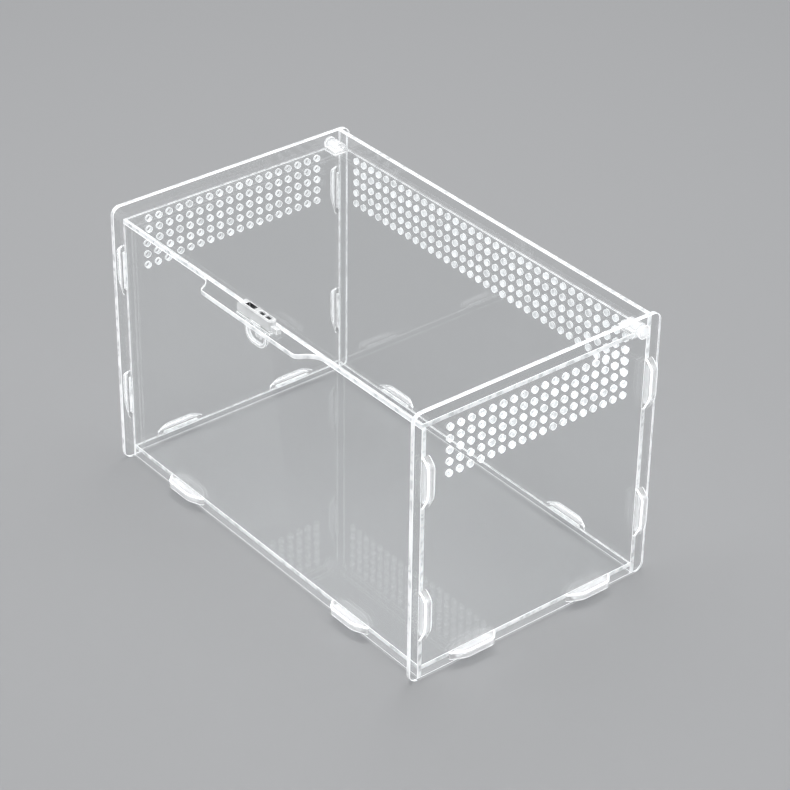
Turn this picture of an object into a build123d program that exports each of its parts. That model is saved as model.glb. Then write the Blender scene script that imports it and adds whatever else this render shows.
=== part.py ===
"""Clear acrylic terrarium: flat panels, joint clips, a hinged lid and a slide latch.

X runs along the length, Y from front to back, Z up. The origin is the middle of the
footprint, on the surface that the box stands on. All sizes are in millimetres.
"""

import os

from build123d import *

# Box panels
length = 300.0
side_depth = 186.0
side_height = 187.0
wall = 3.0
corner_radius = 6.0
front_inset = 7.0
rear_inset = 6.5
floor_rise = 5.5
lid_drop = 9.0

# Tabs on the panel edges, and the slots that they pass through
tab_length = 26.0
tab_proud = 2.5
slot_clearance = 0.1
upright_tab_spacing = 93.0
short_edge_tab_spacing = 92.0
long_edge_tab_spacing = 170.0

# Joint clips
clip_length = 35.0
clip_width = 5.5
clip_height = 6.0
clip_foot = 1.2
clip_blunt_run = 4.5
clip_taper_run = 9.5
clip_round = 3.0
clip_pocket_clearance = 0.05

# Vent holes
vent_diameter = 4.0
vent_sides = 6
vent_pitch = 7.8
vent_rows = 5
vent_side_columns = 18
vent_back_columns = 34
vent_top_margin = 5.5

# Lid
lid_side_gap = 0.5
lid_rear_gap = 0.5
lid_rest_gap = 0.1
tongue_reach = 12.0
tongue_root_half = 53.5
tongue_tip_half = 47.0
tongue_root_radius = 15.0
tongue_tip_radius = 5.0

# Hinges
hinge_setback = 5.0
boss_diameter = 9.0
boss_length = 8.0
boss_notch_gap = 0.2
clamp_thickness = 1.0
clamp_reach = 6.5
clamp_overlap = 3.0
pin_diameter = 4.0
pin_running_gap = 0.05
pin_head_diameter = 9.0
pin_head_thickness = 1.5
pin_head_gap = 0.2
pin_grip = 5.0

# Latch
latch_centre_x = 1.5
latch_setback = 5.6
housing_length = 35.0
housing_depth = 5.4
housing_height = 7.2
housing_wall = 0.9
housing_round = 2.4
housing_chamfer = 0.6
housing_slope_run = 4.5
housing_slope_foot = 2.5
slider_gap = 0.15
slider_height = 3.3
slider_tail = 5.0
slider_end_proud = 4.5
latch_travel = 4.0
leg_length = 5.0
leg_offset = 1.0
nose_drop = 7.6
nose_height = 3.0
nose_panel_gap = 0.5
window_start = 8.8
window_length = 8.5
ridge_length = 2.0
ridge_height = 3.0
recess_start = 21.0
recess_length = 5.2
recess_rib = 0.9
recess_depth = 1.0
flange_thickness = 1.2
flange_inset = 1.0
loop_width = 20.8
loop_thickness = 2.4
loop_band = 2.1
loop_drop = 14.6
loop_round = 8.0
post_length = 3.0
post_depth = 2.6
post_inset = 4.0
post_grip = 2.0
keeper_lip_height = 2.4
keeper_lip_length = 7.4
keeper_lip_depth = 3.4
keeper_side_gap = 0.6
keeper_wall = 2.0
keeper_over_gap = 0.4

# Places that follow from the sizes above
half_length = length / 2
inner_half_length = half_length - wall
tongue_overhang = tongue_reach - front_inset
rear_reach = side_depth - rear_inset + clip_height
side_front_y = -(rear_reach - tongue_overhang) / 2
side_back_y = side_front_y + side_depth
front_outer_y = side_front_y + front_inset
front_inner_y = front_outer_y + wall
back_outer_y = side_back_y - rear_inset
back_inner_y = back_outer_y - wall
mid_y = (side_front_y + side_back_y) / 2
mid_z = side_height / 2
floor_top_z = floor_rise + wall
floor_mid_z = floor_rise + wall / 2
lid_top_z = side_height - lid_drop
lid_bottom_z = lid_top_z - wall
front_top_z = lid_bottom_z - lid_rest_gap
tab_reach = wall + tab_proud
upright_tab_z = [mid_z - upright_tab_spacing / 2, mid_z + upright_tab_spacing / 2]
short_tab_y = [mid_y - short_edge_tab_spacing / 2, mid_y + short_edge_tab_spacing / 2]
long_tab_x = [-long_edge_tab_spacing / 2, long_edge_tab_spacing / 2]
front_mid_y = (front_outer_y + front_inner_y) / 2
back_mid_y = (back_outer_y + back_inner_y) / 2
lid_half_length = inner_half_length - lid_side_gap
lid_rear_y = back_inner_y - lid_rear_gap
hinge_y = back_inner_y - hinge_setback
hinge_z = lid_top_z
latch_y = front_outer_y - latch_setback
housing_x0 = latch_centre_x - housing_length / 2
housing_x1 = latch_centre_x + housing_length / 2
channel_half = housing_depth / 2 - housing_wall
slider_half = channel_half - slider_gap
leg_x0 = latch_centre_x + leg_offset
leg_x1 = leg_x0 + leg_length
leg_slot = (leg_x0 - latch_travel - slider_gap, leg_x1 + slider_gap)
left_post_x = housing_x0 + post_inset
right_post_x = housing_x1 - post_inset
nose_z = lid_bottom_z - nose_drop
keeper_lip_z = nose_z + nose_height + keeper_over_gap
keeper_top_z = keeper_lip_z + keeper_lip_height
keeper_x1 = leg_x0 - keeper_side_gap
keeper_x0 = keeper_x1 - keeper_lip_length


def rect(u0, u1, v0, v1):
    """Rectangle between two corners, as a sketch."""
    return Pos((u0 + u1) / 2, (v0 + v1) / 2) * Rectangle(u1 - u0, v1 - v0)


def slab_x(sketch, x0, thickness):
    """Sketch in Y and Z, thickened along +X from x0."""
    return extrude(Plane.YZ.offset(x0) * sketch, amount=thickness)


def slab_y(sketch, y0, thickness):
    """Sketch in X and Z, thickened along +Y from y0."""
    return extrude(Plane.XZ.offset(-(y0 + thickness)) * sketch, amount=thickness)


def slab_z(sketch, z0, thickness):
    """Sketch in X and Y, thickened along +Z from z0."""
    return extrude(Plane.XY.offset(z0) * sketch, amount=thickness)


def block(x0, x1, y0, y1, z0, z1):
    """Box between two corners."""
    return slab_z(rect(x0, x1, y0, y1), z0, z1 - z0)


def rod_x(radius, x0, x1, y, z):
    """Round bar along X."""
    return slab_x(Pos(y, z) * Circle(radius), x0, x1 - x0)


def tab_slot(u, v, along_u):
    """Slot in a panel for one tab, centred on u and v."""
    long_side = tab_length + 2 * slot_clearance
    short_side = wall + 2 * slot_clearance
    if along_u:
        return Pos(u, v) * Rectangle(long_side, short_side)
    return Pos(u, v) * Rectangle(short_side, long_side)


def vent_grid(columns, u_centre):
    """Square grid of vent holes just under the lid."""
    top_row_z = lid_bottom_z - vent_top_margin
    centre_z = top_row_z - (vent_rows - 1) * vent_pitch / 2
    places = GridLocations(vent_pitch, vent_pitch, columns, vent_rows)
    hole = RegularPolygon(vent_diameter / 2, vent_sides, rotation=180 / vent_sides)
    return [Pos(u_centre, centre_z) * place * hole for place in places]


def side_panel(x0):
    """One end of the box, with slots for the tabs of the front, back and floor."""
    sketch = Pos(mid_y, mid_z) * RectangleRounded(side_depth, side_height, corner_radius)
    slots = [tab_slot(y, z, False) for y in (front_mid_y, back_mid_y) for z in upright_tab_z]
    slots += [tab_slot(y, floor_mid_z, True) for y in short_tab_y]
    pin_hole = Pos(hinge_y, hinge_z) * Circle(pin_diameter / 2 + pin_running_gap)
    sketch -= slots + [pin_hole] + vent_grid(vent_side_columns, mid_y)
    return slab_x(sketch, x0, wall)


def upright_outline(top_z):
    """Front or back panel with its tabs, before slots and holes."""
    sketch = rect(-inner_half_length, inner_half_length, 0, top_z)
    for z in upright_tab_z:
        reach = inner_half_length + tab_reach
        sketch += rect(-reach, reach, z - tab_length / 2, z + tab_length / 2)
    return sketch - [tab_slot(x, floor_mid_z, True) for x in long_tab_x]


def front_panel():
    """Front wall, which the lid lies on and the keeper is bonded to."""
    return slab_y(upright_outline(front_top_z), front_outer_y, wall)


def back_panel():
    """Rear wall, as tall as the sides, with the long vent grid."""
    sketch = upright_outline(side_height) - vent_grid(vent_back_columns, 0)
    return slab_y(sketch, back_inner_y, wall)


def floor_panel():
    """Raised floor, with two tabs into each wall."""
    sketch = rect(-inner_half_length, inner_half_length, front_inner_y, back_inner_y)
    half_tab = tab_length / 2
    for y in short_tab_y:
        reach = inner_half_length + tab_reach
        sketch += rect(-reach, reach, y - half_tab, y + half_tab)
    for x in long_tab_x:
        front_end = front_inner_y - tab_reach
        back_end = back_inner_y + tab_reach
        sketch += rect(x - half_tab, x + half_tab, front_end, back_end)
    return slab_z(sketch, floor_rise, wall)


def joint_clip():
    """Moulded cap that grips one tab. Its foot lies on Z = 0 and its taper points to +X."""
    half = clip_length / 2
    outline = Polyline(
        (-half, 0),
        (-half, clip_foot),
        (-half + clip_blunt_run, clip_height),
        (half - clip_taper_run, clip_height),
        (half, clip_foot),
        (half, 0),
        close=True,
    )
    profile = make_face(outline)
    shoulders = profile.vertices().group_by(Axis.Y)[-1]
    profile = fillet(shoulders, clip_round)
    body = slab_y(profile, -clip_width / 2, clip_width)
    pocket_half = tab_length / 2 + clip_pocket_clearance
    pocket_side = wall / 2 + clip_pocket_clearance
    pocket_top = tab_proud + clip_pocket_clearance
    return body - block(-pocket_half, pocket_half, -pocket_side, pocket_side, 0, pocket_top)


def place_clip(clip, foot, taper_direction, outward):
    """The clip with its foot at a point, its taper and its back in two directions."""
    return Plane(origin=foot, x_dir=taper_direction, z_dir=outward).location * clip


def joint_clips():
    """Two clips on each of the eight glue-free joints, by name."""
    clip = joint_clip()
    clips = {}
    for side, sign in (("left", -1), ("right", 1)):
        x = sign * half_length
        for corner, y in (("front", front_mid_y), ("rear", back_mid_y)):
            for level, z in zip(("lower", "upper"), upright_tab_z):
                name = f"{side}_{corner}_{level}_clip"
                clips[name] = place_clip(clip, (x, y, z), (0, 0, -1), (sign, 0, 0))
        for corner, y in zip(("front", "rear"), short_tab_y):
            name = f"floor_{side}_{corner}_clip"
            clips[name] = place_clip(clip, (x, y, floor_mid_z), (0, -1, 0), (sign, 0, 0))
    for face, y, sign in (("front", front_outer_y, -1), ("rear", back_outer_y, 1)):
        for side, x in zip(("left", "right"), long_tab_x):
            name = f"floor_{face}_{side}_clip"
            clips[name] = place_clip(clip, (x, y, floor_mid_z), (1, 0, 0), (0, sign, 0))
    return clips


def lid_outline():
    """Lid with its finger tongue, which sweeps out of the front edge on four arcs."""
    front_y = front_outer_y
    tip_y = front_outer_y - tongue_reach
    front_edge = FilletPolyline(
        (-lid_half_length, front_y),
        (-tongue_root_half, front_y),
        (-tongue_tip_half, tip_y),
        (tongue_tip_half, tip_y),
        (tongue_root_half, front_y),
        (lid_half_length, front_y),
        radius=[tongue_root_radius, tongue_tip_radius, tongue_tip_radius, tongue_root_radius],
    )
    other_edges = Polyline(
        (lid_half_length, front_y),
        (lid_half_length, lid_rear_y),
        (-lid_half_length, lid_rear_y),
        (-lid_half_length, front_y),
    )
    return make_face(front_edge.edges() + other_edges.edges())


def lid_panel():
    """Lid between the side panels, with its tongue, latch slot and hinge notches."""
    sketch = lid_outline()
    notch_front_y = hinge_y - boss_diameter / 2 - boss_notch_gap
    notch_inner_x = lid_half_length - boss_length - boss_notch_gap
    for sign in (-1, 1):
        inner, outer = sorted((sign * notch_inner_x, sign * lid_half_length))
        sketch -= rect(inner, outer, notch_front_y, lid_rear_y)
    sketch -= [leg_slot_sketch(), post_sketch(left_post_x), post_sketch(right_post_x)]
    return slab_z(sketch, lid_bottom_z, wall)


def mirrored_span(sign, near_x, far_x):
    """Two distances from the middle as a low and a high X, on the side of the sign."""
    return sorted((sign * near_x, sign * far_x))


def hinge_knuckle(sign):
    """Moulded corner clamp on the lid, with the boss that the pin is pressed into."""
    boss_x = lid_half_length - boss_length
    boss_span = mirrored_span(sign, boss_x, lid_half_length)
    clamp_span = mirrored_span(sign, boss_x - clamp_overlap, lid_half_length)
    boss_front_y = hinge_y - boss_diameter / 2
    boss_rear_y = hinge_y + boss_diameter / 2
    front_y = hinge_y - clamp_reach
    under_z = lid_bottom_z - clamp_thickness
    body = rod_x(boss_diameter / 2, *boss_span, hinge_y, hinge_z)
    body += block(*clamp_span, front_y, hinge_y, lid_top_z, lid_top_z + clamp_thickness)
    body += block(*clamp_span, front_y, boss_rear_y, under_z, lid_bottom_z)
    body += block(*boss_span, boss_front_y, boss_rear_y, lid_bottom_z, lid_top_z)
    return body - rod_x(pin_diameter / 2, *boss_span, hinge_y, hinge_z)


def hinge_pin(sign):
    """Headed pin that turns in the side panel's hole."""
    inner = lid_half_length - pin_grip
    head = half_length + pin_head_gap
    tip = head + pin_head_thickness
    shank = rod_x(pin_diameter / 2, *mirrored_span(sign, inner, head), hinge_y, hinge_z)
    cap = rod_x(pin_head_diameter / 2, *mirrored_span(sign, head, tip), hinge_y, hinge_z)
    return shank + cap


def leg_slot_sketch():
    """Slot that the slider's leg travels in, through the lid and the flange under it."""
    return rect(*leg_slot, latch_y - channel_half, latch_y + channel_half)


def post_sketch(x):
    """Section of one square post of the loop, which is also its hole in the lid."""
    return Pos(x, latch_y) * Rectangle(post_length, post_depth)


def latch_block(x0, x1, z0, z1, half=channel_half):
    """Box across the latch's middle plane."""
    return block(x0, x1, latch_y - half, latch_y + half, z0, z1)


def latch_housing():
    """Upper half of the latch: a rounded block, sloped at one end, that holds the slider."""
    top_z = lid_top_z + housing_height
    plan = Pos(latch_centre_x, latch_y) * RectangleRounded(
        housing_length, housing_depth, housing_round
    )
    body = slab_z(plan, lid_top_z, housing_height)
    slope = Polyline(
        (housing_x0, lid_top_z + housing_slope_foot),
        (housing_x0 + housing_slope_run, top_z),
        (housing_x0, top_z),
        close=True,
    )
    body -= slab_y(make_face(slope), latch_y - housing_depth / 2, housing_depth)
    body = chamfer(body.edges().group_by(Axis.Z)[-1], housing_chamfer)
    channel_x0 = leg_x0 - slider_tail - latch_travel - slider_gap
    channel_top = lid_top_z + slider_height + 2 * slider_gap
    body -= latch_block(channel_x0, housing_x1, lid_top_z, channel_top)
    window_x0 = housing_x0 + window_start
    window_half = channel_half - slider_gap
    body -= latch_block(window_x0, window_x0 + window_length, lid_top_z, top_z, window_half)
    for start in (recess_start, recess_start + recess_length + recess_rib):
        x0 = housing_x0 + start
        body -= latch_block(x0, x0 + recess_length, top_z - recess_depth, top_z, window_half)
    return body - slab_z(post_sketch(left_post_x), lid_top_z, post_grip)


def latch_slider():
    """Sliding bolt: a bar in the housing, a thumb ridge, and a leg with its nose below."""
    bar_z = lid_top_z + slider_gap
    bar_top = bar_z + slider_height
    bar_x0 = leg_x0 - slider_tail
    body = latch_block(bar_x0, housing_x1 + slider_end_proud, bar_z, bar_top, slider_half)
    window_x1 = housing_x0 + window_start + window_length
    ridge_x1 = window_x1 - slider_gap
    ridge_half = channel_half - 2 * slider_gap
    body += latch_block(
        ridge_x1 - ridge_length, ridge_x1, bar_top, bar_top + ridge_height, ridge_half
    )
    body += latch_block(leg_x0, leg_x1, nose_z, bar_top, slider_half)
    nose_y0 = latch_y + slider_half
    nose_y1 = front_outer_y - nose_panel_gap
    return body + block(leg_x0, leg_x1, nose_y0, nose_y1, nose_z, nose_z + nose_height)


def latch_loop():
    """Lower half of the latch: a flange with a finger loop, held by posts in the lid."""
    flange_x0 = housing_x0 + flange_inset
    flange_x1 = housing_x1 - flange_inset
    flange_plan = rect(
        flange_x0, flange_x1, latch_y - housing_depth / 2, latch_y + housing_depth / 2
    )
    flange_z = lid_bottom_z - flange_thickness
    body = slab_z(flange_plan - leg_slot_sketch(), flange_z, flange_thickness)
    half = loop_width / 2
    bottom_z = lid_bottom_z - loop_drop
    ring = loop_face(half, bottom_z, flange_z, loop_round)
    ring -= loop_face(half - loop_band, bottom_z + loop_band, flange_z, loop_round - loop_band)
    body += slab_y(ring, latch_y - loop_thickness / 2, loop_thickness)
    for x, reach in ((left_post_x, wall + post_grip), (right_post_x, wall)):
        body += slab_z(post_sketch(x), lid_bottom_z, reach)
    return body


def loop_face(half, bottom_z, top_z, corner):
    """Upright face under the flange: square at the top, well rounded at the bottom."""
    face = rect(latch_centre_x - half, latch_centre_x + half, bottom_z, top_z)
    return fillet(face.vertices().group_by(Axis.Y)[0], corner)


def latch_keeper():
    """Strike on the front panel, with a lip that the slider's nose goes under."""
    y0 = front_outer_y - keeper_lip_depth
    body = block(keeper_x0, keeper_x1, y0, front_outer_y, keeper_lip_z, keeper_top_z)
    wall_x1 = keeper_x0 + keeper_wall
    return body + block(keeper_x0, wall_x1, y0, front_outer_y, nose_z, keeper_top_z)


parts = {
    "left_side_panel": side_panel(-half_length),
    "right_side_panel": side_panel(half_length - wall),
    "front_panel": front_panel(),
    "back_panel": back_panel(),
    "floor_panel": floor_panel(),
    "lid_panel": lid_panel(),
    "left_hinge_knuckle": hinge_knuckle(-1),
    "right_hinge_knuckle": hinge_knuckle(1),
    "left_hinge_pin": hinge_pin(-1),
    "right_hinge_pin": hinge_pin(1),
    "latch_housing": latch_housing(),
    "latch_slider": latch_slider(),
    "latch_loop": latch_loop(),
    "latch_keeper": latch_keeper(),
    **joint_clips(),
}

os.makedirs("parts", exist_ok=True)
for name, part in parts.items():
    export_step(part, f"parts/{name}.step")
    print(name, round(part.volume, 1), part.bounding_box().size)
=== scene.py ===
# %% [markdown]
# # A clear acrylic terrarium
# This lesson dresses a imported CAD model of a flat-pack reptile box. The CAD model gives the
# size and place of each piece. Blender adds round vent holes, softened edges, clear plastic
# and a plain studio, and never moves a piece.

# %% Load the fixed frame
import math

import bmesh
import bpy
from mathutils import Matrix, Vector


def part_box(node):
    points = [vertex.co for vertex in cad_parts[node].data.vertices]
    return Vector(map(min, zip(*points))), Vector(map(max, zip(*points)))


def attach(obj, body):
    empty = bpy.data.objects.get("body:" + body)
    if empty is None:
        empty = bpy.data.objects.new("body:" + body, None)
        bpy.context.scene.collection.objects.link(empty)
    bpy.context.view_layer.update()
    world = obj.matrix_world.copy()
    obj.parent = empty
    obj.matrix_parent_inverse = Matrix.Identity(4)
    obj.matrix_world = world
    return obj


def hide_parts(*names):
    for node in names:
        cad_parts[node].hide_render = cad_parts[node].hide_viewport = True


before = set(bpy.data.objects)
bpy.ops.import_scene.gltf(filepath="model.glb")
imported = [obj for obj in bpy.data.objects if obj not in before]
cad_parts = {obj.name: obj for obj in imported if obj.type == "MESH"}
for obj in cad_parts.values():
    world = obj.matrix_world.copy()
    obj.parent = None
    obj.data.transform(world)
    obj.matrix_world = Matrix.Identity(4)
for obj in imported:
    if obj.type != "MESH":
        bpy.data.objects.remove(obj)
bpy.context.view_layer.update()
scene = bpy.context.scene
MM = 0.001

# %% [markdown]
# ## The camera
# The photograph looks down on the box from its front right corner through a long lens. A
# perspective fit of the box's straight edges gave the place, the angles and the lens. The
# slight roll is part of that fit, so the uprights lean just as much as they do there.

# %% Place the camera
CAMERA_PLACE = Vector((1.1020, -0.8770, 0.9936))
CAMERA_AZIMUTH = math.radians(50.93)
CAMERA_ELEVATION = math.radians(32.69)
CAMERA_ROLL = math.radians(0.78)
CAMERA_LENS = 122.8
SENSOR_WIDTH = 36.0
NEAR_CLIP = 0.01


def camera_rotation(azimuth, elevation, roll):
    """Rotation that looks along a compass angle and down by an elevation, then rolls."""
    back = Vector((
        math.sin(azimuth) * math.cos(elevation),
        -math.cos(azimuth) * math.cos(elevation),
        math.sin(elevation),
    ))
    level_right = Vector((math.cos(azimuth), math.sin(azimuth), 0))
    level_up = back.cross(level_right)
    right = level_right * math.cos(roll) + level_up * math.sin(roll)
    up = back.cross(right)
    return Matrix((right, up, back)).transposed()


camera_data = bpy.data.cameras.new("camera")
camera_data.lens = CAMERA_LENS
camera_data.sensor_width = SENSOR_WIDTH
camera_data.clip_start = NEAR_CLIP
camera = bpy.data.objects.new("camera", camera_data)
rotation = camera_rotation(CAMERA_AZIMUTH, CAMERA_ELEVATION, CAMERA_ROLL)
camera.matrix_world = Matrix.Translation(CAMERA_PLACE) @ rotation.to_4x4()
scene.collection.objects.link(camera)
scene.camera = camera
print("camera", [round(v, 3) for v in CAMERA_PLACE], "lens", CAMERA_LENS)

# %% [markdown]
# ## Fine wear, shared by all plastics, and the pattern of the edges' painted glow
# No plastic is evenly smooth. A hand-wiped sheet has faint smears, and a moulded piece has
# a soft mottle. One node group makes that as a roughness that wanders between two values,
# with a height for a faint bump. Each material sets its own scale and range. The cut edges
# also use that height to vary the strength of their painted glow.

# %% Build the wear group
WEAR_DETAIL = 4.0
NOISE_LOW = 0.35
NOISE_HIGH = 0.65


def number_socket(group, name, direction):
    """Add one named number socket to a node group."""
    group.interface.new_socket(name=name, in_out=direction, socket_type="NodeSocketFloat")


def wear_and_glow_noise_group():
    """Node group that turns noise into a roughness and a height."""
    group = bpy.data.node_groups.new("wear_and_glow_noise", "ShaderNodeTree")
    for name in ("Scale", "Smooth", "Rough"):
        number_socket(group, name, "INPUT")
    for name in ("Roughness", "Height"):
        number_socket(group, name, "OUTPUT")
    nodes, links = group.nodes, group.links
    source = nodes.new("NodeGroupInput")
    result = nodes.new("NodeGroupOutput")
    place = nodes.new("ShaderNodeTexCoord")
    noise = nodes.new("ShaderNodeTexNoise")
    noise.inputs["Detail"].default_value = WEAR_DETAIL
    blend = nodes.new("ShaderNodeMapRange")
    blend.inputs["From Min"].default_value = NOISE_LOW
    blend.inputs["From Max"].default_value = NOISE_HIGH
    links.new(place.outputs["Object"], noise.inputs["Vector"])
    links.new(source.outputs["Scale"], noise.inputs["Scale"])
    links.new(noise.outputs["Fac"], blend.inputs["Value"])
    links.new(source.outputs["Smooth"], blend.inputs["To Min"])
    links.new(source.outputs["Rough"], blend.inputs["To Max"])
    links.new(blend.outputs["Result"], result.inputs["Roughness"])
    links.new(noise.outputs["Fac"], result.inputs["Height"])
    return group


WEAR_AND_GLOW_NOISE = wear_and_glow_noise_group()

# %% [markdown]
# ## Materials
# The sheet's faces are clear acrylic: they show as soft gloss and a faint grey tint. The cut
# edges are frosted by the laser and carry a painted glow, an emission that stands in for
# light that enters a sheet and leaves it at its cut edges. The narrow rim of an edge gets
# the strongest painted glow. Each sheet therefore carries three materials: face, cut edge
# and glowing rim. The moulded clips, hinges and latch are clear plastic too, but thick and
# full of small walls, so they look like bright ice; they carry a faint painted glow.
#
# Glass in Cycles keeps lamps off what is behind it. A Light Path switch lets shadow rays
# through, so the floor under the box stays as bright as it is in life.

# %% Make the plastics
ACRYLIC_IOR = 1.49
RELIEF_DEPTH = 0.1 * MM


def principled(name, color, wear_scale, smooth, rough, bump):
    """A Principled material with wandering roughness and a faint bump."""
    material = bpy.data.materials.new(name)
    material.use_nodes = True
    nodes, links = material.node_tree.nodes, material.node_tree.links
    shader = nodes["Principled BSDF"]
    shader.inputs["Base Color"].default_value = (*color, 1.0)
    shader.inputs["IOR"].default_value = ACRYLIC_IOR
    wear = nodes.new("ShaderNodeGroup")
    wear.node_tree = WEAR_AND_GLOW_NOISE
    wear.inputs["Scale"].default_value = wear_scale
    wear.inputs["Smooth"].default_value = smooth
    wear.inputs["Rough"].default_value = rough
    links.new(wear.outputs["Roughness"], shader.inputs["Roughness"])
    relief = nodes.new("ShaderNodeBump")
    relief.inputs["Distance"].default_value = RELIEF_DEPTH
    relief.inputs["Strength"].default_value = bump
    links.new(wear.outputs["Height"], relief.inputs["Height"])
    links.new(relief.outputs["Normal"], shader.inputs["Normal"])
    return material, shader


def let_lamps_through(material, shader, tint):
    """Mix in a Transparent shader for shadow rays only."""
    nodes, links = material.node_tree.nodes, material.node_tree.links
    path = nodes.new("ShaderNodeLightPath")
    clear = nodes.new("ShaderNodeBsdfTransparent")
    clear.inputs["Color"].default_value = (tint, tint, tint, 1.0)
    mix = nodes.new("ShaderNodeMixShader")
    links.new(path.outputs["Is Shadow Ray"], mix.inputs["Fac"])
    links.new(shader.outputs["BSDF"], mix.inputs[1])
    links.new(clear.outputs["BSDF"], mix.inputs[2])
    links.new(mix.outputs["Shader"], nodes["Material Output"].inputs["Surface"])


def clear_material(name, color, transmission, tint, **wear):
    """See-through plastic that lamps shine through; its wear is set as in principled."""
    material, shader = principled(name, color, **wear)
    shader.inputs["Transmission Weight"].default_value = transmission
    let_lamps_through(material, shader, tint)
    return material


SHEET_COLOR = (0.985, 0.99, 0.99)
EDGE_COLOR = (0.50, 0.52, 0.53)
RIM_COLOR = (0.80, 0.81, 0.82)
MOULDING_COLOR = (0.985, 0.99, 0.995)
LATCH_COLOR = (0.96, 0.97, 0.975)
# Near-black colour of the painted shade in the latch's window and recesses.
PAINTED_SHADE_COLOR = (0.035, 0.037, 0.04)
# Painted glow: emission on cut edges, rims and mouldings, which are no lamps.
PAINTED_GLOW_COLOR = (0.97, 0.985, 1.0)
PAINTED_GLOW_DIM_HEIGHT = 0.38
PAINTED_GLOW_FULL_HEIGHT = 0.58
DIM_PAINTED_GLOW = 0.32
FULL_PAINTED_GLOW = 0.66
RIM_PAINTED_GLOW = 0.78
MOULDING_PAINTED_GLOW = 0.06


def add_painted_glow(shader, strength):
    """Painted glow: an emission on a piece that is no lamp, standing in for piped light."""
    shader.inputs["Emission Color"].default_value = (*PAINTED_GLOW_COLOR, 1.0)
    shader.inputs["Emission Strength"].default_value = strength


def cut_edge_material():
    """Laser-cut edge with a painted glow, an emission brighter in some places than in others."""
    material, shader = principled(
        "cut_edge", EDGE_COLOR, wear_scale=170.0, smooth=0.2, rough=0.4, bump=0.1
    )
    nodes, links = material.node_tree.nodes, material.node_tree.links
    painted_glow_spread = nodes.new("ShaderNodeMapRange")
    painted_glow_spread.inputs["From Min"].default_value = PAINTED_GLOW_DIM_HEIGHT
    painted_glow_spread.inputs["From Max"].default_value = PAINTED_GLOW_FULL_HEIGHT
    painted_glow_spread.inputs["To Min"].default_value = DIM_PAINTED_GLOW
    painted_glow_spread.inputs["To Max"].default_value = FULL_PAINTED_GLOW
    # The wear noise's height sets where the edge's painted glow is stronger.
    links.new(nodes["Group"].outputs["Height"], painted_glow_spread.inputs["Value"])
    links.new(painted_glow_spread.outputs["Result"], shader.inputs["Emission Strength"])
    shader.inputs["Emission Color"].default_value = (*PAINTED_GLOW_COLOR, 1.0)
    return material


def painted_glow_rim_material():
    """Narrow rim of an edge or a moulding, with the strongest painted glow."""
    material, shader = principled(
        "painted_glow_rim", RIM_COLOR, wear_scale=420.0, smooth=0.15, rough=0.3, bump=0.0
    )
    add_painted_glow(shader, RIM_PAINTED_GLOW)
    return material


sheet_face = clear_material(
    "clear_sheet",
    SHEET_COLOR,
    transmission=1.0,
    tint=0.98,
    wear_scale=9.0,
    smooth=0.0,
    rough=0.008,
    bump=0.0,
)
cut_edge = cut_edge_material()
painted_glow_rim = painted_glow_rim_material()
moulded = clear_material(
    "clear_moulding",
    MOULDING_COLOR,
    transmission=0.7,
    tint=0.95,
    wear_scale=160.0,
    smooth=0.02,
    rough=0.1,
    bump=0.05,
)
# Faint painted glow on the clear mouldings: an emission, though they are no lamps.
add_painted_glow(moulded.node_tree.nodes["Principled BSDF"], MOULDING_PAINTED_GLOW)
latch_plastic = clear_material(
    "latch_moulding",
    LATCH_COLOR,
    transmission=0.45,
    tint=0.9,
    wear_scale=220.0,
    smooth=0.05,
    rough=0.15,
    bump=0.05,
)
# Material that paints shade into the latch's window and recesses.
painted_shade_plastic, _ = principled(
    "painted_shade_plastic", PAINTED_SHADE_COLOR, wear_scale=220.0, smooth=0.2, rough=0.35, bump=0.0
)
print("materials:", [m.name for m in bpy.data.materials])

# %% [markdown]
# ## Sheets cut from a drawing
# A laser cuts each panel from flat sheet along an outline with holes. A filled 2D curve is
# the same thing: closed loops, where an inner loop becomes a hole, thickened by its extrude
# value. A tiny bevel breaks the sharp rim, so that it catches a line of light, and the rim
# carries a painted glow as well.

# %% Helpers for outlines
HOLE_SIDES = 28
CORNER_STEPS = 8
RIM = 0.25 * MM
RIM_STEPS = 1
WELD = 0.002 * MM
FACE_LEAN = 0.98
EDGE_LEAN = 0.1


def arc(u, v, radius, start, end, steps):
    """Points along an arc, with angles in degrees."""
    angles = [math.radians(start + (end - start) * i / steps) for i in range(steps + 1)]
    return [(u + radius * math.cos(a), v + radius * math.sin(a)) for a in angles]


def rectangle(u0, u1, v0, v1):
    """Corner points of a rectangle."""
    return [(u0, v0), (u1, v0), (u1, v1), (u0, v1)]


def rounded(u0, u1, v0, v1, radius):
    """Rectangle with round corners."""
    centres = (
        (u1 - radius, v0 + radius, -90),
        (u1 - radius, v1 - radius, 0),
        (u0 + radius, v1 - radius, 90),
        (u0 + radius, v0 + radius, 180),
    )
    return [p for u, v, a in centres for p in arc(u, v, radius, a, a + 90, CORNER_STEPS)]


def circle(u, v, radius):
    """Round hole."""
    return arc(u, v, radius, 0, 360, HOLE_SIDES)[:-1]


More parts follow.
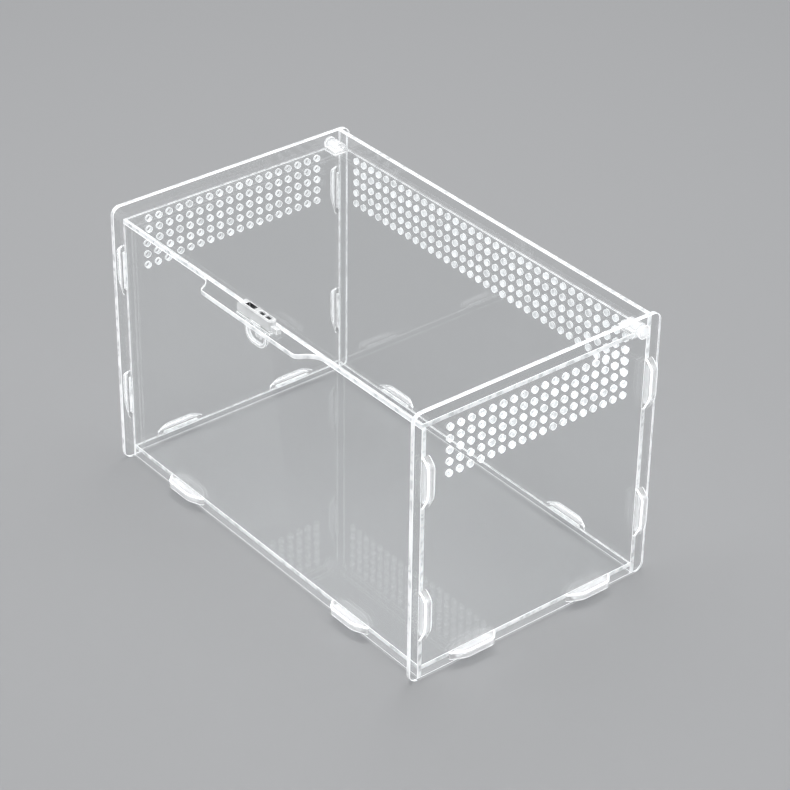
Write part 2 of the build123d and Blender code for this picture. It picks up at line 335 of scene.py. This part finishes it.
def sheet_piece(name, node, body, across, loops):
    """Panel cut along loops; across is the row axis that its thickness lies on.

    Faces look along that axis, cut edges look across it, and the rims lie in between.
    """
    low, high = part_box(node)
    thickness = high[across] - low[across]
    curve = bpy.data.curves.new(name, "CURVE")
    curve.dimensions = "2D"
    curve.fill_mode = "BOTH"
    curve.extrude = thickness / 2 - RIM
    curve.bevel_depth = RIM
    curve.bevel_resolution = RIM_STEPS
    curve.offset = -RIM
    for points in loops:
        spline = curve.splines.new("POLY")
        spline.points.add(len(points) - 1)
        for point, (u, v) in zip(spline.points, points):
            point.co = (u, v, 0, 1)
        spline.use_cyclic_u = True
    holder = bpy.data.objects.new(name + "_drawing", curve)
    mesh = bpy.data.meshes.new_from_object(holder)
    bpy.data.objects.remove(holder)
    middle = (low[across] + high[across]) / 2
    axes = [a for a in range(3) if a != across]
    for vertex in mesh.vertices:
        place = Vector((0, 0, 0))
        place[axes[0]] = vertex.co.x
        place[axes[1]] = vertex.co.y
        place[across] = vertex.co.z + middle
        vertex.co = place
    panel = bmesh.new()
    panel.from_mesh(mesh)
    bmesh.ops.remove_doubles(panel, verts=panel.verts, dist=WELD)
    bmesh.ops.recalc_face_normals(panel, faces=panel.faces)
    panel.to_mesh(mesh)
    panel.free()
    mesh.materials.clear()
    for material in (sheet_face, cut_edge, painted_glow_rim):
        mesh.materials.append(material)
    # Rim faces between face and edge get the rim material's painted glow.
    for polygon in mesh.polygons:
        lean = abs(polygon.normal[across])
        if lean > FACE_LEAN:
            polygon.material_index = 0
        elif lean < EDGE_LEAN:
            polygon.material_index = 1
        else:
            polygon.material_index = 2
    piece = bpy.data.objects.new(name, mesh)
    scene.collection.objects.link(piece)
    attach(piece, body)
    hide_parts(node)
    print(name, "faces", len(mesh.polygons))


# %% [markdown]
# ## Vents, tabs and slots
# Five rows of holes run round the back and the sides under the lid. Each wall's tabs pass
# through slots in its neighbour, and a clip grips every tab. The clips' places are known
# from the frame, so slots and tabs are drawn around the clips' middles.

# %% Measure from the frame and place the vents
VENT_RADIUS = 2.0 * MM
VENT_PITCH = 7.8 * MM
VENT_ROWS = 5
VENT_TOP_MARGIN = 5.5 * MM
SIDE_COLUMNS = 18
BACK_COLUMNS = 34
TAB_HALF = 13.0 * MM
SLOT_GAP = 0.1 * MM
VISIBLE_GAP = 0.04 * MM
SIDE_CORNER = 6.0 * MM
PIN_HOLE_RADIUS = 2.05 * MM

side_low, side_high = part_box("right_side_panel")
front_low, front_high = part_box("front_panel")
back_low, back_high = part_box("back_panel")
floor_low, floor_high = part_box("floor_panel")
lid_low, lid_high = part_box("lid_panel")
inner_x = side_low.x
sheet = side_high.x - side_low.x


def middle_of(node):
    """Middle of a CAD node's box."""
    low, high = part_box(node)
    return (low + high) / 2


def vents(columns, u_centre):
    """Round holes in rows under the lid."""
    top = lid_low.z - VENT_TOP_MARGIN
    first = u_centre - (columns - 1) * VENT_PITCH / 2
    return [
        circle(first + column * VENT_PITCH, top - row * VENT_PITCH, VENT_RADIUS)
        for column in range(columns)
        for row in range(VENT_ROWS)
    ]


def slot_loop(u, v, along_u):
    """Slot that a tab passes through, around its clip's middle."""
    long_half = TAB_HALF + SLOT_GAP
    short_half = sheet / 2 + SLOT_GAP
    du, dv = (long_half, short_half) if along_u else (short_half, long_half)
    return rectangle(u - du, u + du, v - dv, v + dv)


# %% Cut the two side panels
def side_piece(side):
    """End wall with slots, vents and the hole that its hinge pin turns in."""
    node = side + "_side_panel"
    low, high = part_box(node)
    loops = [rounded(low.y, high.y, low.z, high.z, SIDE_CORNER)]
    for corner in ("front", "rear"):
        for level in ("lower", "upper"):
            centre = middle_of(f"{side}_{corner}_{level}_clip")
            loops.append(slot_loop(centre.y, centre.z, False))
        centre = middle_of(f"floor_{side}_{corner}_clip")
        loops.append(slot_loop(centre.y, centre.z, True))
    pin = middle_of(side + "_hinge_pin")
    loops.append(circle(pin.y, pin.z, PIN_HOLE_RADIUS))
    loops += vents(SIDE_COLUMNS, (low.y + high.y) / 2)
    sheet_piece(side + "_side_sheet", node, "housing", 0, loops)


for side in ("left", "right"):
    side_piece(side)

# %% Cut the front and the back
def upright_outline(top_z):
    """Wall between the sides, with two tabs at each end."""
    wall_x = inner_x - VISIBLE_GAP
    tab_x = front_high.x
    lower = middle_of("right_front_lower_clip").z
    upper = middle_of("right_front_upper_clip").z
    right = [(wall_x, front_low.z)]
    for z in (lower, upper):
        right += [(wall_x, z - TAB_HALF), (tab_x, z - TAB_HALF)]
        right += [(tab_x, z + TAB_HALF), (wall_x, z + TAB_HALF)]
    right.append((wall_x, top_z))
    return right + [(-u, v) for u, v in reversed(right)]


def floor_slots(face):
    """Slots for the floor's tabs."""
    centres = [middle_of(f"floor_{face}_{side}_clip") for side in ("left", "right")]
    return [slot_loop(centre.x, centre.z, True) for centre in centres]


front_loops = [upright_outline(front_high.z)] + floor_slots("front")
back_loops = [upright_outline(back_high.z)] + floor_slots("rear") + vents(BACK_COLUMNS, 0)
sheet_piece("front_sheet", "front_panel", "housing", 1, front_loops)
sheet_piece("back_sheet", "back_panel", "housing", 1, back_loops)

# %% Cut the floor
floor_x = middle_of("floor_front_right_clip").x
floor_y = [middle_of(f"floor_right_{corner}_clip").y for corner in ("front", "rear")]


def floor_outline():
    """Floor with two tabs into each of the four walls."""
    inner_front = front_high.y + VISIBLE_GAP
    inner_back = back_low.y - VISIBLE_GAP
    wall_x = inner_x - VISIBLE_GAP
    right = []
    for y in floor_y:
        right += [(wall_x, y - TAB_HALF), (floor_high.x, y - TAB_HALF)]
        right += [(floor_high.x, y + TAB_HALF), (wall_x, y + TAB_HALF)]
    front = [
        (floor_x - TAB_HALF, inner_front),
        (floor_x - TAB_HALF, floor_low.y),
        (floor_x + TAB_HALF, floor_low.y),
        (floor_x + TAB_HALF, inner_front),
        (wall_x, inner_front),
    ]
    back = [
        (wall_x, inner_back),
        (floor_x + TAB_HALF, inner_back),
        (floor_x + TAB_HALF, floor_high.y),
        (floor_x - TAB_HALF, floor_high.y),
        (floor_x - TAB_HALF, inner_back),
    ]
    half = front + right + back
    return half + [(-u, v) for u, v in reversed(half)]


sheet_piece("floor_sheet", "floor_panel", "housing", 2, [floor_outline()])

# %% [markdown]
# ## The lid
# The lid's front edge sweeps out into a finger tongue on four arcs. The tongue carries the
# latch, and the latch's leg passes through a slot in it. Notches at the rear corners make
# room for the hinge bosses.

# %% Cut the lid
TONGUE_ROOT = 53.5 * MM
TONGUE_TIP = 47.0 * MM
ROOT_RADIUS = 15.0 * MM
TIP_RADIUS = 5.0 * MM
NOTCH_GAP = 0.2 * MM
BOSS_RADIUS = 4.5 * MM
BOSS_LENGTH = 8.0 * MM
FILLET_STEPS = 14


def fillet_corner(before, corner, after, radius):
    """Points of the arc that rounds one corner of an outline."""
    a = (Vector(before) - Vector(corner)).normalized()
    b = (Vector(after) - Vector(corner)).normalized()
    half = a.angle(b) / 2
    reach = radius / math.tan(half)
    centre = Vector(corner) + (a + b).normalized() * (radius / math.sin(half))
    first = Vector(corner) + a * reach - centre
    last = Vector(corner) + b * reach - centre
    turn = first.angle_signed(last)
    points = []
    for step in range(FILLET_STEPS + 1):
        point = first.copy()
        point.rotate(Matrix.Rotation(-turn * step / FILLET_STEPS, 2))
        points.append(tuple(centre + point))
    return points


def lid_outline():
    """Lid with its tongue and the two hinge notches."""
    front_y = front_low.y
    tip_y = lid_low.y
    corners = [
        (lid_high.x, front_y),
        (TONGUE_ROOT, front_y),
        (TONGUE_TIP, tip_y),
        (0.0, tip_y),
    ]
    right = [corners[0]]
    right += fillet_corner(corners[0], corners[1], corners[2], ROOT_RADIUS)
    right += fillet_corner(corners[1], corners[2], corners[3], TIP_RADIUS)
    hinge_y = middle_of("right_hinge_pin").y
    notch_y = hinge_y - BOSS_RADIUS - NOTCH_GAP
    notch_x = lid_high.x - BOSS_LENGTH - NOTCH_GAP
    rear = [(notch_x, lid_high.y), (notch_x, notch_y), (lid_high.x, notch_y)]
    half = rear + right
    return half + [(-u, v) for u, v in reversed(half)]


loop_low, loop_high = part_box("latch_loop")
latch_y = (loop_low.y + loop_high.y) / 2
LEG_LEFT = 2.5 * MM
LEG_LENGTH = 5.0 * MM
LEG_HALF = 1.8 * MM
LEG_GAP = 0.15 * MM
LATCH_TRAVEL = 4.0 * MM
leg_slot = rectangle(
    LEG_LEFT - LATCH_TRAVEL - LEG_GAP,
    LEG_LEFT + LEG_LENGTH + LEG_GAP,
    latch_y - LEG_HALF,
    latch_y + LEG_HALF,
)
POST_INSET = 3.0 * MM
POST_LENGTH = 3.0 * MM
POST_DEPTH = 2.6 * MM


def post_hole(x):
    """Square hole that one post of the loop fills."""
    half_length = POST_LENGTH / 2
    half_depth = POST_DEPTH / 2
    return rectangle(x - half_length, x + half_length, latch_y - half_depth, latch_y + half_depth)


post_holes = [post_hole(loop_low.x + POST_INSET), post_hole(loop_high.x - POST_INSET)]
sheet_piece("lid_sheet", "lid_panel", "lid", 2, [lid_outline(), leg_slot, *post_holes])

# %% [markdown]
# ## Clips
# A clip is a cap with a steep end, a long taper and a pocket for the tab. Its side view is
# drawn with round shoulders, pulled out to the clip's width, and the pocket is let into its
# foot. The long outlines get a wide bevel in the rim material, which carries a painted glow.

# %% Mould the clips
CLIP_FOOT = 1.2 * MM
CLIP_BLUNT_RUN = 4.5 * MM
CLIP_TAPER_RUN = 9.5 * MM
CLIP_ROUND = 0.9 * MM
POCKET_GAP = 0.05 * MM
POCKET_HALF = TAB_HALF + POCKET_GAP
POCKET_SIDE = sheet / 2 + POCKET_GAP
POCKET_TOP = 2.55 * MM
BLUNT_RADII = (2.2 * MM, 5.5 * MM)
TAPER_RADII = (1.6 * MM, 14.0 * MM)
BEVEL_STEPS = 4
SHARP_ANGLE = math.radians(35)


def clip_profile(half, height):
    """Side view of a clip from its blunt end over its back to its taper's end."""
    corners = [
        (-half, 0.0),
        (-half, CLIP_FOOT),
        (-half + CLIP_BLUNT_RUN, height),
        (half - CLIP_TAPER_RUN, height),
        (half, CLIP_FOOT),
        (half, 0.0),
    ]
    radii = (*BLUNT_RADII, *reversed(TAPER_RADII))
    points = [corners[0]]
    for index, radius in enumerate(radii, start=1):
        before, corner, after = corners[index - 1 : index + 2]
        points += fillet_corner(before, corner, after, radius)
    return points + [corners[-1]]


def dressed(piece, body, node, materials, radius, limit):
    """Give a moulded piece its materials, its rounding and its place in the frame."""
    for material in materials:
        piece.data.materials.append(material)
    scene.collection.objects.link(piece)
    bevel = piece.modifiers.new("rounding", "BEVEL")
    bevel.width = radius
    bevel.segments = BEVEL_STEPS
    # Bevel faces take the second material, the rim with its painted glow.
    bevel.material = 1
    bevel.limit_method = limit
    bevel.angle_limit = SHARP_ANGLE
    piece.data.shade_smooth()
    piece.modifiers.new("even_normals", "WEIGHTED_NORMAL")
    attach(piece, body)
    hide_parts(node)
    return piece


def clip_piece(node):
    """One clip, turned so that its foot lies on the wall and its back looks outward."""
    low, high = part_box(node)
    size = high - low
    centre = (low + high) / 2
    width_axis = min(range(3), key=lambda a: size[a])
    length_axis = max(range(3), key=lambda a: size[a])
    height_axis = 3 - width_axis - length_axis
    outward = math.copysign(1.0, centre[height_axis])
    foot = centre[height_axis] - outward * size[height_axis] / 2
    taper = 1.0 if length_axis == 0 else -1.0
    half = size[length_axis] / 2
    half_width = size[width_axis] / 2
    cap = bmesh.new()

    def corner(along, across, up):
        place = centre.copy()
        place[length_axis] += taper * along
        place[width_axis] += across
        place[height_axis] = foot + outward * up
        return cap.verts.new(place)

    profile = clip_profile(half, size[height_axis])
    near = [corner(u, -half_width, v) for u, v in profile]
    far = [corner(u, half_width, v) for u, v in profile]
    cap.faces.new(near)
    cap.faces.new(reversed(far))
    for i in range(len(profile) - 1):
        cap.faces.new((near[i], far[i], far[i + 1], near[i + 1]))
    mouth = [(-POCKET_HALF, -POCKET_SIDE), (POCKET_HALF, -POCKET_SIDE)]
    mouth += [(POCKET_HALF, POCKET_SIDE), (-POCKET_HALF, POCKET_SIDE)]
    rim = [corner(u, w, 0.0) for u, w in mouth]
    roof = [corner(u, w, POCKET_TOP) for u, w in mouth]
    outer = [near[0], near[-1], far[-1], far[0]]
    for i in range(4):
        k = (i + 1) % 4
        cap.faces.new((outer[i], outer[k], rim[k], rim[i]))
        cap.faces.new((rim[i], rim[k], roof[k], roof[i]))
    cap.faces.new(roof)
    bmesh.ops.recalc_face_normals(cap, faces=cap.faces)
    weight = cap.edges.layers.float.new("bevel_weight_edge")
    for line in (near, far):
        for first, second in zip(line, line[1:]):
            cap.edges.get((first, second))[weight] = 1.0
    mesh = bpy.data.meshes.new(node)
    cap.to_mesh(mesh)
    cap.free()
    piece = bpy.data.objects.new(node + "_moulding", mesh)
    materials = (moulded, painted_glow_rim)
    dressed(piece, "housing", node, materials, CLIP_ROUND, "WEIGHT")


clip_nodes = sorted(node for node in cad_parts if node.endswith("_clip"))
for node in clip_nodes:
    clip_piece(node)
print("clips:", len(clip_nodes))

# %% [markdown]
# ## Hinges and latch
# Each of these is a copy of its CAD solid, with its flat faces merged and a bevel on the
# edges that are left. The CAD solid itself stays untouched. The latch's window and its two
# shallow recesses look dark, so the window's walls, the slider under the window and the
# floors of the recesses get painted shade: a near-black colour that stands in for shade.

# %% Round the moulded pieces
FLAT_ANGLE = math.radians(1.0)
HINGE_ROUND = 0.3 * MM
LATCH_ROUND = 0.2 * MM
LOOP_ROUND = 0.3 * MM


def moulded_mesh(node):
    """Copy of a CAD solid with its flat faces merged."""
    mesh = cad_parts[node].data.copy()
    solid = bmesh.new()
    solid.from_mesh(mesh)
    bmesh.ops.remove_doubles(solid, verts=solid.verts, dist=WELD)
    bmesh.ops.dissolve_limit(
        solid, angle_limit=FLAT_ANGLE, verts=solid.verts, edges=solid.edges
    )
    solid.to_mesh(mesh)
    solid.free()
    mesh.materials.clear()
    return mesh


def moulded_piece(node, body, material, radius):
    """Rounded copy of a CAD solid, which stands for that solid."""
    piece = bpy.data.objects.new(node + "_moulding", moulded_mesh(node))
    materials = (material, painted_glow_rim, painted_shade_plastic)
    return dressed(piece, body, node, materials, radius, "ANGLE")


for side in ("left", "right"):
    moulded_piece(side + "_hinge_knuckle", "lid", moulded, HINGE_ROUND)
    moulded_piece(side + "_hinge_pin", "lid", moulded, HINGE_ROUND)
housing = moulded_piece("latch_housing", "lid", latch_plastic, LATCH_ROUND)
slider = moulded_piece("latch_slider", "slider", latch_plastic, LATCH_ROUND)
moulded_piece("latch_loop", "lid", latch_plastic, LOOP_ROUND)
moulded_piece("latch_keeper", "housing", latch_plastic, LATCH_ROUND)
print("hinges and latch: 8 pieces")

# %% Paint shade into the latch's window and recesses
UP = Vector((0, 0, 1))
FORWARD = Vector((0, -1, 0))
RIGHT = Vector((1, 0, 0))
SAME_WAY = 0.9
WALL_INSET = 0.5 * MM
WINDOW_END = 17.3 * MM
WINDOW_MARGIN = 0.3 * MM


def paint_shade(piece, low, high, facing):
    """Painted shade on the faces within a box that look along one of some directions."""
    for polygon in piece.data.polygons:
        inside = all(low[a] < polygon.center[a] < high[a] for a in range(3))
        if inside and any(polygon.normal.dot(way) > SAME_WAY for way in facing):
            polygon.material_index = 2


housing_low, housing_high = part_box("latch_housing")
inset = Vector((WALL_INSET, WALL_INSET, WALL_INSET))
inner_low = housing_low + inset
inner_high = housing_high - inset
well_end = housing_low.x + WINDOW_END + WINDOW_MARGIN
well_high = Vector((well_end, inner_high.y, housing_high.z))
# Painted shade: recess floors, the window's walls and the slider's top under the window.
paint_shade(housing, inner_low, inner_high, [UP])
paint_shade(housing, inner_low, well_high, [FORWARD, RIGHT])
paint_shade(slider, inner_low, well_high, [UP, FORWARD])

# %% [markdown]
# ## The studio
# White edges need something a little darker behind them, so the floor is a pale grey. The
# backdrop is the world itself, in a like grey for rays from the camera and for those that
# plastic bends or mirrors, so the floor ends in a soft change of tone.

# %% Lay the floor
FLOOR_TONE = (0.36, 0.365, 0.375)
FLOOR_ROUGHNESS = 0.55
FLOOR_HALF = 6.0


def floor_material():
    """Plain pale matt surface."""
    material = bpy.data.materials.new("studio_floor")
    material.use_nodes = True
    shader = material.node_tree.nodes["Principled BSDF"]
    shader.inputs["Base Color"].default_value = (*FLOOR_TONE, 1.0)
    shader.inputs["Roughness"].default_value = FLOOR_ROUGHNESS
    return material


floor_mesh = bpy.data.meshes.new("studio_floor")
corners = [(-FLOOR_HALF, -FLOOR_HALF, 0), (FLOOR_HALF, -FLOOR_HALF, 0)]
corners += [(FLOOR_HALF, FLOOR_HALF, 0), (-FLOOR_HALF, FLOOR_HALF, 0)]
floor_mesh.from_pydata(corners, [], [(0, 1, 2, 3)])
floor_mesh.materials.append(floor_material())
studio_floor = bpy.data.objects.new("studio_floor", floor_mesh)
scene.collection.objects.link(studio_floor)

# %% Light the studio
WORLD_LEVEL = 0.6
BACKDROP = (0.40, 0.405, 0.415, 1.0)
LAMP_TARGET = (0, 0, 0.1)


def studio_world():
    """Even light for surfaces, and a plain backdrop for what looks past them."""
    world = bpy.data.worlds.new("studio")
    world.use_nodes = True
    nodes, links = world.node_tree.nodes, world.node_tree.links
    light = nodes["Background"]
    light.inputs["Color"].default_value = (1.0, 1.0, 1.0, 1.0)
    light.inputs["Strength"].default_value = WORLD_LEVEL
    backdrop = nodes.new("ShaderNodeBackground")
    backdrop.inputs["Color"].default_value = BACKDROP
    path = nodes.new("ShaderNodeLightPath")
    first = nodes.new("ShaderNodeMath")
    first.operation = "MAXIMUM"
    second = nodes.new("ShaderNodeMath")
    second.operation = "MAXIMUM"
    links.new(path.outputs["Is Camera Ray"], first.inputs[0])
    links.new(path.outputs["Is Glossy Ray"], first.inputs[1])
    links.new(first.outputs["Value"], second.inputs[0])
    links.new(path.outputs["Is Transmission Ray"], second.inputs[1])
    mix = nodes.new("ShaderNodeMixShader")
    links.new(second.outputs["Value"], mix.inputs["Fac"])
    links.new(light.outputs["Background"], mix.inputs[1])
    links.new(backdrop.outputs["Background"], mix.inputs[2])
    links.new(mix.outputs["Shader"], nodes["World Output"].inputs["Surface"])
    scene.world = world


def soft_lamp(name, place, size, power):
    """Square area lamp that faces the box."""
    data = bpy.data.lights.new(name, "AREA")
    data.energy = power
    data.size = size
    lamp = bpy.data.objects.new(name, data)
    lamp.location = place
    direction = Vector(LAMP_TARGET) - Vector(place)
    lamp.rotation_euler = direction.to_track_quat("-Z", "Y").to_euler()
    scene.collection.objects.link(lamp)


studio_world()
soft_lamp("top_softbox", (-0.4, 0.3, 1.6), size=1.4, power=16.0)
soft_lamp("side_softbox", (1.5, 0.6, 0.8), size=1.0, power=5.0)
soft_lamp("front_softbox", (-0.6, -1.6, 0.9), size=1.0, power=5.0)

scene.view_settings.view_transform = "Standard"
